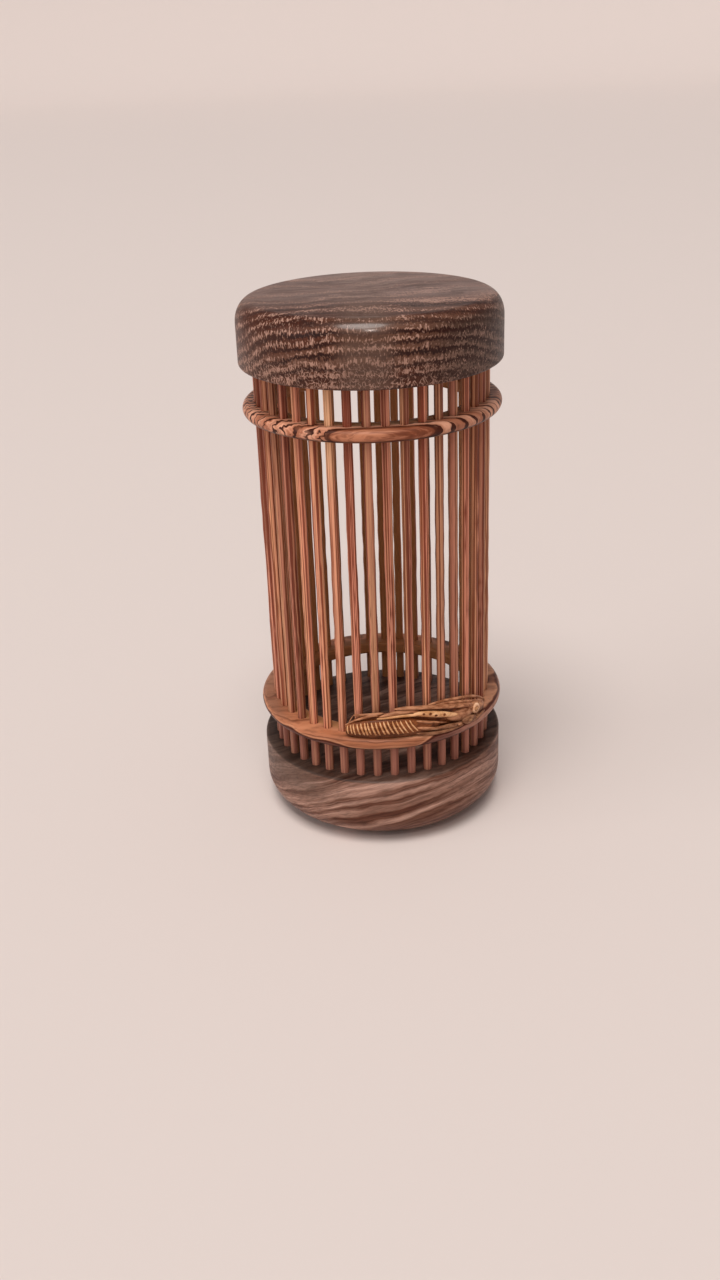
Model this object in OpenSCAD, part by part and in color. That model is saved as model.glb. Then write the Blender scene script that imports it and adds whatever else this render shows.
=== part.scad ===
/* [Bars] */
// Number of upright bars round the cage
bar_count = 40; // [24:1:48]
// Diameter of one bar
bar_d = 2; // [1.2:0.1:2.6]
// Diameter of the circle that the bars' centres stand on
bar_circle_d = 51.2; // [42:0.2:70]
// Turn of the first bar from the front, in degrees
bar_turn = -3.1; // [-9:0.1:9]
// Gap round a bar in every hole that takes it
bar_clear = 0.05; // [0.02:0.01:0.1]

/* [Base] */
// Height of the base block
base_h = 18.2; // [14:0.1:26]
// How far the base stands out past the bars
base_overhang = 2.8; // [1.5:0.1:6]
// Width of the rounding at the foot
foot_round_w = 12; // [3:0.5:15]
// Height of the rounding at the foot
foot_round_h = 7.9; // [2:0.1:10]
// Rounding of the base's top edge
base_edge_r = 0.8; // [0.2:0.1:1.2]
// Depth of the bar sockets in the base
base_socket = 6; // [3:0.5:8]

/* [Cage] */
// Height of the barred cage, from the base to the lid
cage_h = 92.8; // [70:0.1:140]
// Open height between the base and the lower ring
lower_gap = 8.3; // [4:0.1:20]
// Open height between the upper ring and the lid
upper_gap = 8.4; // [4:0.1:20]

/* [Rings] */
// Thickness of each ring
ring_t = 3; // [2:0.1:4.5]
// How far the lower ring stands out past the bars
lower_ring_overhang = 3; // [2.4:0.1:6]
// How far the upper ring stands out past the bars
upper_ring_overhang = 2.7; // [2.4:0.1:6]
// Width of wood left inside the bars
ring_inner_lip = 2.4; // [1.2:0.1:5]
// Rounding of a ring's inner edges
ring_inner_r = 0.6; // [0.2:0.1:0.9]

/* [Collar] */
// How far the collar stands out past the bars
collar_overhang = 1.2; // [0.6:0.1:3]
// Width of wood left inside the bars
collar_inner_lip = 3.6; // [1.2:0.1:6]
// Height of the collar
collar_h = 6; // [5.5:0.5:10]
// Depth of the bar sockets in the collar
collar_socket = 4; // [2:0.5:5]
// How far the collar's underside sits up inside the lid
collar_inset = 0.5; // [0.1:0.1:2]
// Lead-in bevel on the collar's top edge
collar_lead = 0.5; // [0.2:0.1:0.8]

/* [Lid] */
// Thickness of the lid's top, above the collar
lid_top = 7.6; // [5:0.1:14]
// Wall of the lid round the collar
lid_wall = 1.65; // [1.2:0.05:4]
// Gap between the collar and the lid's wall
lid_clear = 0.15; // [0.1:0.05:0.4]
// Width of the rounding at the lid's top edge
lid_round_w = 3.7; // [1:0.1:8]
// Height of the rounding at the lid's top edge
lid_round_h = 4.9; // [1:0.1:7]
// Rounding of the lid's lower edge
lid_edge_r = 0.6; // [0.2:0.1:1]

/* [Carving] */
// Turn of the carved cricket's tail from the front, in degrees
carving_turn = -18.5; // [-60:0.5:0]
// Length of the carving round the ring, in degrees
carving_arc = 78; // [60:1:120]
// Height of the carving above the ring
carving_h = 7.6; // [5:0.1:12]
// Gap between the carving and the bars
carving_clear = 0.3; // [0.1:0.1:0.6]
// How far the carving stays back from the ring's edge
carving_setback = 0.3; // [0.1:0.1:0.8]

/* [Hidden] */
// Radii
bar_circle_r = bar_circle_d / 2;
bar_outer_r = bar_circle_r + bar_d / 2;
bar_inner_r = bar_circle_r - bar_d / 2;
base_r = bar_outer_r + base_overhang;
lower_ring_r = bar_outer_r + lower_ring_overhang;
upper_ring_r = bar_outer_r + upper_ring_overhang;
ring_bore_r = bar_inner_r - ring_inner_lip;
collar_r = bar_outer_r + collar_overhang;
collar_bore_r = bar_inner_r - collar_inner_lip;
recess_r = collar_r + lid_clear;
lid_r = recess_r + lid_wall;
carving_in_r = bar_outer_r + carving_clear;
carving_out_r = lower_ring_r - carving_setback;
carving_mid_r = (carving_in_r + carving_out_r) / 2;
carving_depth = carving_out_r - carving_in_r;

// Heights, stacked from the foot up
lower_ring_z = base_h + lower_gap;
lower_ring_top = lower_ring_z + ring_t;
lid_z = base_h + cage_h;
upper_ring_z = lid_z - upper_gap - ring_t;
collar_z = lid_z + collar_inset;
ceiling_z = collar_z + collar_h;
lid_top_z = ceiling_z + lid_top;
bar_foot_z = base_h - base_socket;
bar_head_z = collar_z + collar_socket;

// Fineness of round edges, turned shapes, bars and carving
arc_steps = 12;
turned_fn = 128;
bar_fn = 32;
blob_fn = 10;
// How far a cut runs past the face that it opens
cut_over = 1;

// The cricket, tail to head: [share of the arc, share of the height, share of the height for the radius]
wing_path = [
    [0.05, 0.20, 0.20], [0.12, 0.28, 0.28], [0.22, 0.32, 0.32], [0.34, 0.34, 0.34],
    [0.44, 0.32, 0.32], [0.54, 0.24, 0.24], [0.64, 0.14, 0.14], [0.72, 0.07, 0.07]
];
back_path = [
    [0.10, 0.55, 0.10], [0.20, 0.72, 0.12], [0.40, 0.84, 0.13], [0.56, 0.68, 0.16],
    [0.72, 0.44, 0.19], [0.83, 0.30, 0.20]
];
flank_path = [[0.46, 0.52, 0.17], [0.58, 0.42, 0.19], [0.70, 0.28, 0.19], [0.82, 0.20, 0.18]];
head_path = [[0.84, 0.24, 0.22], [0.92, 0.22, 0.22], [0.97, 0.14, 0.14]];
leg_path = [[0.03, 0.06, 0.05], [0.07, 0.74, 0.06], [0.20, 0.62, 0.10], [0.42, 0.60, 0.13]];

function bar_name(i) = str("bar_", i < 9 ? "0" : "", i + 1);

// Points of an elliptic arc round a centre, in the plane of a turned profile
function arc_points(centre_r, centre_z, half_w, half_h, from, to) = [
    for (i = [0 : arc_steps])
        let (a = from + (to - from) * i / arc_steps)
        [centre_r + half_w * cos(a), centre_z + half_h * sin(a)]
];

// Sets its children at one bar's place, at a height
module at_bar(i, z) {
    rotate([0, 0, bar_turn + 360 * i / bar_count])
        translate([0, -bar_circle_r, z])
            children();
}

// The holes that take the bars
module bar_holes(z, h) {
    for (i = [0 : bar_count - 1])
        at_bar(i, z) cylinder(r = bar_d / 2 + bar_clear, h = h, $fn = bar_fn);
}

// One upright bar
module bar(i) {
    color("#9a5636")
        at_bar(i, bar_foot_z) cylinder(d = bar_d, h = bar_head_z - bar_foot_z, $fn = bar_fn);
}

// The turned base block, rounded at the foot, with a socket for each bar
module base() {
    color("#55392e")
        difference() {
            rotate_extrude($fn = turned_fn)
                polygon(concat(
                    [[0, 0]],
                    arc_points(base_r - foot_round_w, foot_round_h, foot_round_w, foot_round_h, -90, 0),
                    arc_points(base_r - base_edge_r, base_h - base_edge_r, base_edge_r, base_edge_r, 0, 90),
                    [[0, base_h]]
                ));
            bar_holes(bar_foot_z, base_socket + cut_over);
        }
}

// A round-nosed ring that the bars pass through
module ring(r, z) {
    difference() {
        translate([0, 0, z])
            rotate_extrude($fn = turned_fn)
                polygon(concat(
                    arc_points(r - ring_t / 2, ring_t / 2, ring_t / 2, ring_t / 2, -90, 90),
                    arc_points(ring_bore_r + ring_inner_r, ring_t - ring_inner_r, ring_inner_r, ring_inner_r, 90, 180),
                    arc_points(ring_bore_r + ring_inner_r, ring_inner_r, ring_inner_r, ring_inner_r, 180, 270)
                ));
        bar_holes(z - cut_over, ring_t + 2 * cut_over);
    }
}

module lower_ring() {
    color("#a5673f") ring(lower_ring_r, lower_ring_z);
}

module upper_ring() {
    color("#a5673f") ring(upper_ring_r, upper_ring_z);
}

// The collar on the bars' heads, which the lid fits over
module top_collar() {
    color("#5f4033")
        difference() {
            translate([0, 0, collar_z])
                rotate_extrude($fn = turned_fn)
                    polygon([
                        [collar_bore_r, 0],
                        [collar_r, 0],
                        [collar_r, collar_h - collar_lead],
                        [collar_r - collar_lead, collar_h],
                        [collar_bore_r, collar_h]
                    ]);
            bar_holes(collar_z - cut_over, collar_socket + cut_over);
        }
}

// The push-on lid, turned from one block, with a recess for the collar
module lid() {
    color("#55392e")
        rotate_extrude($fn = turned_fn)
            polygon(concat(
                [[0, ceiling_z], [recess_r, ceiling_z], [recess_r, lid_z]],
                arc_points(lid_r - lid_edge_r, lid_z + lid_edge_r, lid_edge_r, lid_edge_r, -90, 0),
                arc_points(lid_r - lid_round_w, lid_top_z - lid_round_h, lid_round_w, lid_round_h, 0, 90),
                [[0, lid_top_z]]
            ));
}

// One flattened lump of the carving, at a station of its path
module lump(station) {
    size = station[2] * carving_h;
    rotate([0, 0, carving_turn + station[0] * carving_arc])
        translate([0, -carving_mid_r, lower_ring_top + station[1] * carving_h])
            scale([1, min(1, carving_depth / 2 / size), 1])
                sphere(r = size, $fn = blob_fn);
}

// Lumps blended one to the next along a path
module limb(path) {
    for (i = [0 : len(path) - 2])
        hull() {
            lump(path[i]);
            lump(path[i + 1]);
        }
}

// The cricket carved along the lower ring, flat underneath and behind
module carved_cricket() {
    color("#9c7443")
        intersection() {
            union() {
                limb(wing_path);
                limb(back_path);
                limb(flank_path);
                limb(head_path);
                limb(leg_path);
            }
            translate([0, 0, lower_ring_top])
                difference() {
                    cylinder(r = carving_out_r, h = carving_h, $fn = turned_fn);
                    translate([0, 0, -cut_over])
                        cylinder(r = carving_in_r, h = carving_h + 2 * cut_over, $fn = turned_fn);
                }
        }
}

base();
lower_ring();
upper_ring();
top_collar();
lid();
carved_cricket();
for (i = [0 : bar_count - 1])
    bar(i);
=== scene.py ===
import math
import random

import bpy
from mathutils import Matrix, Vector


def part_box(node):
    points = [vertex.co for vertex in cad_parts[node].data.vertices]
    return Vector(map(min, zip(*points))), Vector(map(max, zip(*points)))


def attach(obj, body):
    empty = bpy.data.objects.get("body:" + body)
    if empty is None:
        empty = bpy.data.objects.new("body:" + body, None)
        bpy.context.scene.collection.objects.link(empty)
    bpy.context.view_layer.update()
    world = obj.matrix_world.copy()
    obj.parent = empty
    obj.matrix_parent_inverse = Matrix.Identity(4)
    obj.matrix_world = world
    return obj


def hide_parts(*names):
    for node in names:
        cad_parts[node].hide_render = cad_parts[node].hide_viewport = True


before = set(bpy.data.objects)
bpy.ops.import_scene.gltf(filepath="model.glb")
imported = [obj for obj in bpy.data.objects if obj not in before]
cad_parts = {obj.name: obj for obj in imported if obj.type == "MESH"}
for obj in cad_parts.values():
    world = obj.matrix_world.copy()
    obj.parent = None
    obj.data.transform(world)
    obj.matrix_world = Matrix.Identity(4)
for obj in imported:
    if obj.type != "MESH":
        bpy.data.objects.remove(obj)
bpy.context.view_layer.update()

# One seeded source for every uneven line and tone
chance = random.Random(7)
MM = 0.001


# Sizes read from the frame

def reach(node):
    """Outer radius, foot height and top height of a turned node."""
    low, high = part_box(node)
    return (high.x - low.x) / 2, low.z, high.z


base_r, base_foot, base_top = reach("base")
lower_ring_r, lower_ring_foot, lower_ring_top = reach("lower_ring")
upper_ring_r, upper_ring_foot, upper_ring_top = reach("upper_ring")
collar_r, collar_foot, collar_top = reach("top_collar")
lid_r, lid_foot, lid_top = reach("lid")
bar_nodes = sorted(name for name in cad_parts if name.startswith("bar_"))
bar_r, bar_foot, bar_head = reach(bar_nodes[0])
bar_spots = [(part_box(name)[0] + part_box(name)[1]) / 2 for name in bar_nodes]
bar_circle_r = math.hypot(bar_spots[0].x, bar_spots[0].y)
bar_inner_r = bar_circle_r - bar_r

# Roundings, bores and gaps of the turned pieces
FOOT_ROUND_W = 12.0 * MM
FOOT_ROUND_H = 7.9 * MM
BASE_EDGE = 0.8 * MM
LID_ROUND_W = 3.7 * MM
LID_ROUND_H = 4.9 * MM
LID_EDGE = 0.6 * MM
LID_GAP = 0.15 * MM
RING_INNER_LIP = 2.4 * MM
RING_BORE_R = bar_inner_r - RING_INNER_LIP
RING_INNER_EDGE = 0.6 * MM
COLLAR_INNER_LIP = 3.6 * MM
COLLAR_BORE_R = bar_inner_r - COLLAR_INNER_LIP
COLLAR_LEAD = 0.5 * MM
BORE_GAP = 0.07 * MM
BORE_SIDES = 20
# How far a drill runs past the face that it opens
DRILL_OVER = 1 * MM
# Steps of a turned piece round its axis, and the distance under which two of its points become one
TURN_STEPS = 144
WELD = 0.001 * MM


# Modelling helpers

def deselect():
    bpy.ops.object.select_all(action="DESELECT")


def pick(piece):
    """Selects one piece alone, for the operators that follow."""
    deselect()
    bpy.context.view_layer.objects.active = piece
    piece.select_set(True)


def join(pieces):
    """Joins pieces into the first of them."""
    pick(pieces[0])
    for piece in pieces:
        piece.select_set(True)
    bpy.ops.object.join()
    return pieces[0]


def cut(piece, cutters, material=None):
    """Cuts shapes out of a piece and, where a material is given, finishes the hollows with it."""
    cutter = join(cutters)
    if material:
        cutter.data.materials.append(material)
    pick(piece)
    hollow = piece.modifiers.new("hollow", "BOOLEAN")
    hollow.operation = "DIFFERENCE"
    hollow.material_mode = "TRANSFER" if material else "INDEX"
    hollow.object = cutter
    bpy.ops.object.modifier_apply(modifier="hollow")
    bpy.data.objects.remove(cutter)


def face_outwards():
    """Turns every face outwards and leaves edit mode."""
    bpy.ops.mesh.select_all(action="SELECT")
    bpy.ops.mesh.normals_make_consistent(inside=False)
    bpy.ops.object.mode_set(mode="OBJECT")


def arc(centre_r, centre_z, half_w, half_h, start, end, steps):
    """Points of an elliptic arc in a turned profile, angles in degrees."""
    angles = [math.radians(start + (end - start) * i / steps) for i in range(steps + 1)]
    return [(centre_r + half_w * math.cos(a), centre_z + half_h * math.sin(a)) for a in angles]


def turn(name, profile, steps=TURN_STEPS):
    """A turned piece: a point drawn along its profile and spun round the axis."""
    deselect()
    bpy.ops.mesh.primitive_plane_add(size=MM)
    piece = bpy.context.object
    piece.name = name
    bpy.ops.object.mode_set(mode="EDIT")
    bpy.ops.mesh.merge(type="CENTER")
    bpy.ops.transform.translate(value=(profile[0][0], 0, profile[0][1]))
    for (r, z), (next_r, next_z) in zip(profile, profile[1:]):
        bpy.ops.mesh.extrude_region_move(TRANSFORM_OT_translate={"value": (next_r - r, 0, next_z - z)})
    bpy.ops.mesh.select_all(action="SELECT")
    bpy.ops.mesh.spin(steps=steps, angle=2 * math.pi, center=(0, 0, 0), axis=(0, 0, 1))
    bpy.ops.mesh.select_all(action="SELECT")
    bpy.ops.mesh.remove_doubles(threshold=WELD)
    face_outwards()
    return piece


def draw_out(stations):
    """Draws a new outline through its stations, each a place and a size along the three axes."""
    piece = bpy.context.object
    bpy.ops.object.mode_set(mode="EDIT")
    here, size = stations[0]
    bpy.ops.transform.translate(value=here)
    bpy.ops.transform.resize(value=size, center_override=here)
    for place, next_size in stations[1:]:
        bpy.ops.mesh.extrude_region_move(TRANSFORM_OT_translate={"value": place - here})
        growth = [new / old for new, old in zip(next_size, size)]
        bpy.ops.transform.resize(value=growth, center_override=place)
        here, size = place, next_size
    face_outwards()
    return piece


def round_off(piece, levels):
    """Rounds a drawn piece by subdividing it."""
    pick(piece)
    rounded = piece.modifiers.new("rounded", "SUBSURF")
    rounded.levels = levels
    rounded.render_levels = levels
    bpy.ops.object.modifier_apply(modifier="rounded")


def drill(piece, foot, top):
    """Bores a hole for every bar, from foot to top."""
    deselect()
    drills = []
    for spot in bar_spots:
        bpy.ops.mesh.primitive_cylinder_add(
            vertices=BORE_SIDES, radius=bar_r + BORE_GAP, depth=top - foot,
            location=(spot.x, spot.y, (foot + top) / 2))
        drills.append(bpy.context.object)
    cut(piece, drills)


def smooth(piece, degrees=35):
    """Shades a piece smooth, but for edges that turn by more than some degrees."""
    pick(piece)
    bpy.ops.object.shade_smooth_by_angle(angle=math.radians(degrees))


def seat(piece, body, slot, material, *nodes):
    """Puts a finished piece in its node's stead, with its finish."""
    smooth(piece)
    piece.data.materials.clear()
    piece.data.materials.append(material)
    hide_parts(*nodes)
    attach(piece, body)


# Shader helpers

def tone(red, green, blue):
    """A colour as the eye reads it, 0 to 255, as shader values."""
    def linear(value):
        value /= 255
        return value / 12.92 if value <= 0.04045 else ((value + 0.055) / 1.055) ** 2.4
    return (linear(red), linear(green), linear(blue), 1.0)


def plug(tree, socket, value):
    """Links a socket to another, or sets it to a plain value."""
    if isinstance(value, bpy.types.NodeSocket):
        tree.links.new(value, socket)
    else:
        socket.default_value = value


def add(tree, kind, inputs=(), **settings):
    """Adds a shader node with its inputs and settings."""
    node = tree.nodes.new("ShaderNode" + kind)
    for key, value in settings.items():
        setattr(node, key, value)
    for key, value in dict(inputs).items():
        plug(tree, node.inputs[key], value)
    return node


def maths(tree, operation, *values):
    node = add(tree, "Math", enumerate(values), operation=operation)
    return node.outputs[0]


def product(tree, value, *factors):
    """A value times one or more factors."""
    for factor in factors:
        value = maths(tree, "MULTIPLY", value, factor)
    return value


def between(tree, value, low, high, to_low=0.0, to_high=1.0):
    """A soft step from low to high."""
    inputs = {0: value, 1: low, 2: high, 3: to_low, 4: to_high}
    return add(tree, "MapRange", inputs, interpolation_type="SMOOTHSTEP").outputs[0]


def blend(tree, share, first, second, kind="MIX"):
    """A colour part of the way from one to another."""
    node = add(tree, "Mix", {0: share, 6: first, 7: second}, data_type="RGBA", blend_type=kind)
    return node.outputs[2]


def shaded(tree, colour, factor):
    """A colour times a factor."""
    return blend(tree, 1.0, colour, factor, "MULTIPLY")


def part_way(tree, share, first, second):
    """A value part of the way from one to another."""
    return add(tree, "Mix", {0: share, 2: first, 3: second}, data_type="FLOAT").outputs[0]


def scaled(tree, vector, per_metre):
    """The place counted in steps, so many per metre along each axis."""
    node = add(tree, "VectorMath", {0: vector, 1: per_metre}, operation="MULTIPLY")
    return node.outputs[0]


def times(tree, vector, factor):
    return add(tree, "VectorMath", {0: vector, 3: factor}, operation="SCALE").outputs[0]


def moved(tree, vector, shift):
    return add(tree, "VectorMath", {0: vector, 1: shift}, operation="ADD").outputs[0]


def parted(tree, vector):
    """The three shares of a place: to the side, from front to back and up."""
    return add(tree, "SeparateXYZ", {0: vector}).outputs


def united(tree, *shares):
    """A place from its three shares."""
    return add(tree, "CombineXYZ", enumerate(shares)).outputs[0]


def radius(tree, place):
    """How far a place lies from the cage's axis."""
    level = scaled(tree, place, (1.0, 1.0, 0.0))
    return add(tree, "VectorMath", {0: level}, operation="LENGTH").outputs["Value"]


def noise(tree, vector, detail=2.0, roughness=0.5):
    inputs = {"Vector": vector, "Scale": 1.0, "Detail": detail, "Roughness": roughness}
    return add(tree, "TexNoise", inputs).outputs["Fac"]


def group(name, inputs, outputs):
    """An empty shader group with named sockets, and its two end nodes."""
    tree = bpy.data.node_groups.new(name, "ShaderNodeTree")
    for label, value in inputs.items():
        kind = "NodeSocketVector" if value is None else "NodeSocketFloat"
        socket = tree.interface.new_socket(name=label, in_out="INPUT", socket_type=kind)
        if value is not None:
            socket.default_value = value
    for label in outputs:
        tree.interface.new_socket(name=label, in_out="OUTPUT", socket_type="NodeSocketFloat")
    return tree, tree.nodes.new("NodeGroupInput"), tree.nodes.new("NodeGroupOutput")


def use(tree, shader_group, **values):
    """Places a shader group in a material, with its own values."""
    node = tree.nodes.new("ShaderNodeGroup")
    node.node_tree = shader_group
    for key, value in values.items():
        plug(tree, node.inputs[key.replace("_", " ").capitalize()], value)
    return node.outputs


# The growth layers that the woods share

# How fast the teeth change outwards per metre, from one layer to the next, and up one layer
TEETH_OUTWARDS = 700.0
TEETH_PER_LAYER = 7.7
TEETH_UP = 0.7
# How fast streaks and fibres change along the three axes, per metre
STREAK_STEPS = (20, 40, 0)
FIBRE_STEPS = (90, 600, 2200)


def layers_group():
    """Wavy growth layers across local Z.

    Rise climbs from 0 to 1 in each layer, and Own is each layer's own chance. Teeth are short strokes set
    side by side round the axis, Streaks are long soft bands along the layers, and Fibres are fine lines.
    """
    inputs = {
        "Place": None, "Layers": 500.0, "Wave": 2 * MM, "Waves": 40.0, "Jag": 0.3, "Strokes": 2200.0,
        "Lean": 0.0,
    }
    tree, start, end = group("wood_layers", inputs, ["Rise", "Own", "Teeth", "Streaks", "Fibres"])
    get = start.outputs
    place = get["Place"]
    wave = noise(tree, scaled(tree, times(tree, place, get["Waves"]), (1.0, 1.0, 2.5)), 4.0, 0.55)
    wave = product(tree, maths(tree, "SUBTRACT", wave, 0.5), get["Wave"])
    sway = noise(tree, scaled(tree, times(tree, place, get["Strokes"]), (0.5, 0.5, 0.1)), 1.0)
    sway = product(tree, maths(tree, "SUBTRACT", sway, 0.5), get["Jag"])
    side, front, height = parted(tree, place)
    height = maths(tree, "ADD", height, wave)
    count = maths(tree, "MULTIPLY_ADD", height, get["Layers"], sway)
    layer = maths(tree, "FLOOR", count)
    rise = maths(tree, "FRACT", count)
    own = add(tree, "TexWhiteNoise", {"W": layer}, noise_dimensions="1D").outputs["Value"]
    angle = maths(tree, "ARCTAN2", side, product(tree, front, -1.0))
    round_way = product(tree, angle, product(tree, get["Strokes"], lid_r))
    leaned = maths(tree, "MULTIPLY_ADD", rise, get["Lean"], round_way)
    outwards = product(tree, radius(tree, place), TEETH_OUTWARDS)
    wander = maths(tree, "MULTIPLY_ADD", layer, TEETH_PER_LAYER, product(tree, rise, TEETH_UP))
    bent = united(tree, side, front, height)
    run = moved(tree, scaled(tree, bent, STREAK_STEPS), united(tree, 0.0, 0.0, count))
    plug(tree, end.inputs["Rise"], rise)
    plug(tree, end.inputs["Own"], own)
    plug(tree, end.inputs["Teeth"], noise(tree, united(tree, leaned, outwards, wander), 1.0))
    plug(tree, end.inputs["Streaks"], noise(tree, run, 2.0, 0.6))
    plug(tree, end.inputs["Fibres"], noise(tree, scaled(tree, bent, FIBRE_STEPS), 3.0, 0.6))
    return tree


LAYERS = layers_group()


# The woods

SPECULAR_LEVEL = 0.18
LID_POLISH_ROUGHNESS = 0.17
# Where the orange lens on the upper ring's front ends, towards the back
LENS_DEPTH = -27.5 * MM


def new_material(name):
    """A material with an empty surface, its shader and the place on the piece."""
    material = bpy.data.materials.new(name)
    material.use_nodes = True
    tree = material.node_tree
    surface = tree.nodes["Principled BSDF"]
    surface.inputs["Specular IOR Level"].default_value = SPECULAR_LEVEL
    place = add(tree, "TexCoord").outputs["Object"]
    return material, tree, surface, place


def tilted(tree, place, degrees, shift=(0, 0, 0)):
    """The place turned so that local Z runs across the growth layers."""
    angles = tuple(math.radians(d) for d in degrees)
    return add(tree, "Mapping", {"Vector": place, "Rotation": angles, "Location": shift}).outputs[0]


def relief(tree, surface, height, distance, strength):
    bump = add(tree, "Bump", {"Height": height, "Distance": distance, "Strength": strength})
    plug(tree, surface.inputs["Normal"], bump.outputs[0])


def finish_wood(tree, surface, grain, colour, height):
    """Fine fibres over a wood's colour, in its sheen and in its relief."""
    streaks = between(tree, grain["Fibres"], 0.30, 0.55, 0.72, 1.0)
    plug(tree, surface.inputs["Base Color"], shaded(tree, colour, streaks))
    plug(tree, surface.inputs["Roughness"], between(tree, grain["Fibres"], 0.3, 0.7, 0.50, 0.38))
    relief(tree, surface, maths(tree, "ADD", grain["Fibres"], height), 0.05 * MM, 0.6)


def lid_zones(tree, place):
    """Masks of the lid: where its wood changes, where it is polished, and where sheen and shade are painted.
    """
    side, front, height = parted(tree, place)
    # Painted sheen: the middle of the front greyer and calmer, over the real gloss of its coat
    off_middle = maths(tree, "ABSOLUTE", maths(tree, "ADD", side, 1 * MM))
    middle = between(tree, off_middle, 9 * MM, 2 * MM)
    # Painted shade: the right side, below the top, darker and greyer, with fewer pale marks
    right = between(tree, side, 6 * MM, 20 * MM)
    under_top = between(tree, height, lid_top - 0.6 * MM, lid_top - 2.4 * MM)
    # Painted sheen: a grey wash on the back of the top, where light glances off it
    inwards = between(tree, radius(tree, place), 28.5 * MM, 27.0 * MM)
    return {
        "foot": between(tree, height, lid_foot + 7 * MM, lid_foot + 3 * MM),
        "middle": middle,
        "right_shade": product(tree, right, under_top),
        "top_sheen": product(tree, inwards, between(tree, front, -17 * MM, -3 * MM)),
        "polish": product(tree, middle, between(tree, front, -24 * MM, -27 * MM)),
        "banded": between(tree, side, -29 * MM, -14 * MM, 0.45, 1.0),
    }


def lid_ground(tree, turned_place, grain, zones):
    """The lid's brown ground with its deep smooth bands, under painted sheen and painted shade."""
    broad = noise(tree, scaled(tree, turned_place, (28, 28, 170)), 2.0)
    ground = blend(tree, between(tree, broad, 0.36, 0.64), tone(82, 40, 24), tone(108, 72, 56))
    ground = blend(tree, product(tree, zones["foot"], 0.5), ground, tone(70, 32, 18))
    # Painted sheen in the middle of the front
    ground = blend(tree, product(tree, zones["middle"], 0.5), ground, tone(98, 72, 56))
    # Painted shade on the right side
    ground = blend(tree, product(tree, zones["right_shade"], 0.8), ground, tone(60, 44, 36))
    bands = product(tree, between(tree, grain["Rise"], 0.46, 0.68), between(tree, grain["Rise"], 1.0, 0.94))
    bands = product(tree, bands, between(tree, grain["Own"], 0.0, 0.5, 0.5, 1.0))
    bands = product(tree, bands, between(tree, zones["middle"], 0.0, 1.0, 1.0, 0.4), zones["banded"])
    ground = blend(tree, bands, ground, tone(46, 15, 6))
    # Painted sheen on the back of the top
    sheen_tone = blend(tree, between(tree, grain["Streaks"], 0.34, 0.64), tone(114, 89, 82), tone(142, 117, 109))
    return blend(tree, product(tree, zones["top_sheen"], 0.65), ground, sheen_tone)


def lid_feathers(tree, turned_place, grain, zones):
    """Mask of the lid's pale wood: teeth standing on each layer, curls at the foot and specks all over."""
    patches = between(tree, noise(tree, scaled(tree, turned_place, (70, 70, 150)), 2.0), 0.40, 0.58)
    least = between(tree, grain["Rise"], 0.06, 0.70, 0.53, 0.87)
    least = maths(tree, "MULTIPLY_ADD", patches, -0.10, least)
    least = maths(tree, "MULTIPLY_ADD", grain["Own"], -0.10, least)
    teeth = between(tree, maths(tree, "SUBTRACT", grain["Teeth"], least), 0.0, 0.07)
    teeth = product(tree, teeth, between(tree, grain["Rise"], 0.0, 0.14))
    curls = noise(tree, scaled(tree, turned_place, (1300, 1300, 900)), 1.0)
    curls = between(tree, maths(tree, "ABSOLUTE", maths(tree, "SUBTRACT", curls, 0.52)), 0.05, 0.015)
    curls = product(tree, curls, between(tree, grain["Rise"], 0.95, 0.35, 0.15, 1.0))
    curls = maths(tree, "MAXIMUM", curls, product(tree, teeth, 0.7))
    pale = part_way(tree, zones["foot"], teeth, curls)
    # Fewer pale marks under the painted sheen and the painted shade
    pale = product(tree, pale, between(tree, zones["middle"], 0.0, 1.0, 1.0, 0.65))
    pale = product(tree, pale, between(tree, zones["right_shade"], 0.0, 1.0, 1.0, 0.30))
    specks = between(tree, noise(tree, scaled(tree, turned_place, (2600, 2600, 1500)), 1.0), 0.60, 0.70)
    specks = product(tree, specks, between(tree, patches, 0.0, 1.0, 0.2, 0.6))
    pale = maths(tree, "MAXIMUM", pale, specks)
    return product(tree, pale, between(tree, zones["top_sheen"], 0.0, 1.0, 0.84, 0.4))


def lid_wood():
    """Dark feathery hardwood, polished in the middle of its front, with painted sheen there and on the back
    of its top, and painted shade on its right.
    """
    material, tree, surface, place = new_material("lid_wood")
    turned_place = tilted(tree, place, (18, 2, 0), (0, 0, 0.01))
    grain = use(tree, LAYERS, place=turned_place, layers=430.0, wave=9 * MM, waves=32.0, jag=0.9,
                strokes=5200.0, lean=-1.0)
    zones = lid_zones(tree, place)
    surface.inputs["Coat Roughness"].default_value = LID_POLISH_ROUGHNESS
    plug(tree, surface.inputs["Coat Weight"], between(tree, zones["polish"], 0.0, 1.0, 0.06, 0.55))
    ground = lid_ground(tree, turned_place, grain, zones)
    pale = lid_feathers(tree, turned_place, grain, zones)
    finish_wood(tree, surface, grain, blend(tree, pale, ground, tone(194, 152, 134)), pale)
    return material


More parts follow.
